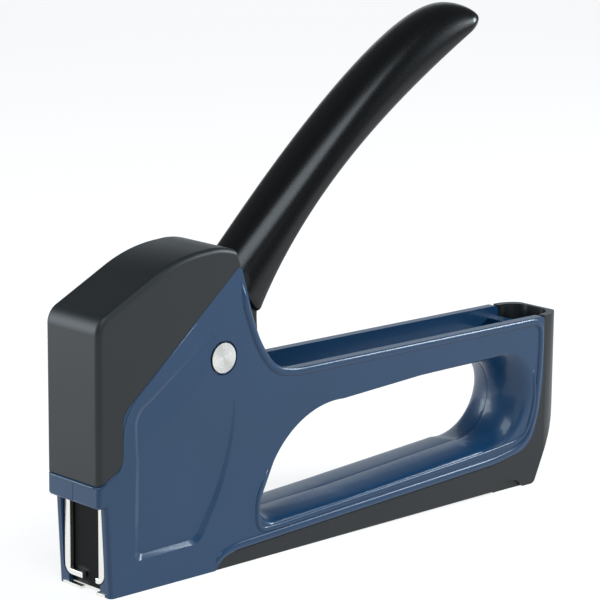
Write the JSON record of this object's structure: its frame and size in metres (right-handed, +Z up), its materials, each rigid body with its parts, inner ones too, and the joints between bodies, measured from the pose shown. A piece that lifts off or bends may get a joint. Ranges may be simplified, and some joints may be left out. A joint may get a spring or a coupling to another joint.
{
  "type": "staple gun",
  "caption": "Hand staple gun: blue shell with a hand opening, black head cap, curved squeeze lever on a rivet, steel nose guide and a slide-out staple magazine.",
  "frame": {"origin": "middle of the nose's front lower edge, in the plane the gun stands on", "axes": "+X from the nose to the rear, +Y across to the side with the screws, +Z up from the base to the lever"},
  "size_m": [0.1635, 0.02, 0.1332],
  "materials": {
    "blue_paint": "satin",
    "black_plastic": "fine matte texture",
    "base_plastic": "satin",
    "lever_black": "satin gloss",
    "arm_black": "satin black",
    "rivet_steel": "turned",
    "bright_steel": "bright plated",
    "zinc_steel": "zinc plated",
    "zinc_screws": "zinc plated",
    "spring_steel": "oiled",
    "black_steel": "black oxide",
    "plunger_black": "black oxide",
    "rubber": "moulded",
    "staple_wire": "galvanised wire"
  },
  "bodies": {
    "frame": {"right_housing": "blue_paint", "left_housing": "blue_paint", "head_cap": "black_plastic", "pivot_rivet": "rivet_steel", "housing_screws": "zinc_screws", "nose_guide": "bright_steel", "sole_plate": "bright_steel", "spring_seat": "zinc_steel", "shock_bumper": "rubber", "magazine_channel": "zinc_steel", "staple_strip": "staple_wire", "drive_spring": "spring_steel"},
    "lever": {"lever_grip": "lever_black", "lever_arm": "arm_black", "lift_pin": "spring_steel", "pivot_bushing": "zinc_steel", "grip_pins": "spring_steel"},
    "driver": {"plunger": "plunger_black", "driver_blade": "black_steel", "blade_rivets": "zinc_steel"},
    "magazine": {"rear_cover": "base_plastic", "core_rail": "bright_steel", "pusher_rod": "spring_steel", "rod_nut": "zinc_steel", "magazine_catch": "spring_steel", "pusher_spring": "spring_steel"},
    "pusher": {"staple_pusher": "zinc_steel"}
  },
  "joints": [
    {"name": "lever_hinge", "type": "hinge", "parent": "frame", "child": "lever", "pos_m": [0.0352, 0, 0.0535], "axis": [0, 1, 0], "range_deg": [0, 41], "stiffness_Nm_per_rad": 1.2, "springref_deg": -20.05},
    {"name": "driver_slide", "type": "slide", "parent": "frame", "child": "driver", "axis": [0, 0, 1], "range_m": [0, 0.0121], "deforming": ["drive_spring"]},
    {"name": "magazine_slide", "type": "slide", "parent": "frame", "child": "magazine", "axis": [1, 0, 0], "range_m": [0, 0.075]},
    {"name": "pusher_slide", "type": "slide", "parent": "magazine", "child": "pusher", "axis": [1, 0, 0], "range_m": [0, 0.04], "stiffness_N_per_m": 40, "springref_m": -0.02, "deforming": ["pusher_spring"]}
  ],
  "couplings": [
    {"joint": "driver_slide", "follows": "lever_hinge", "m_per_rad": 0.01664}
  ]
}
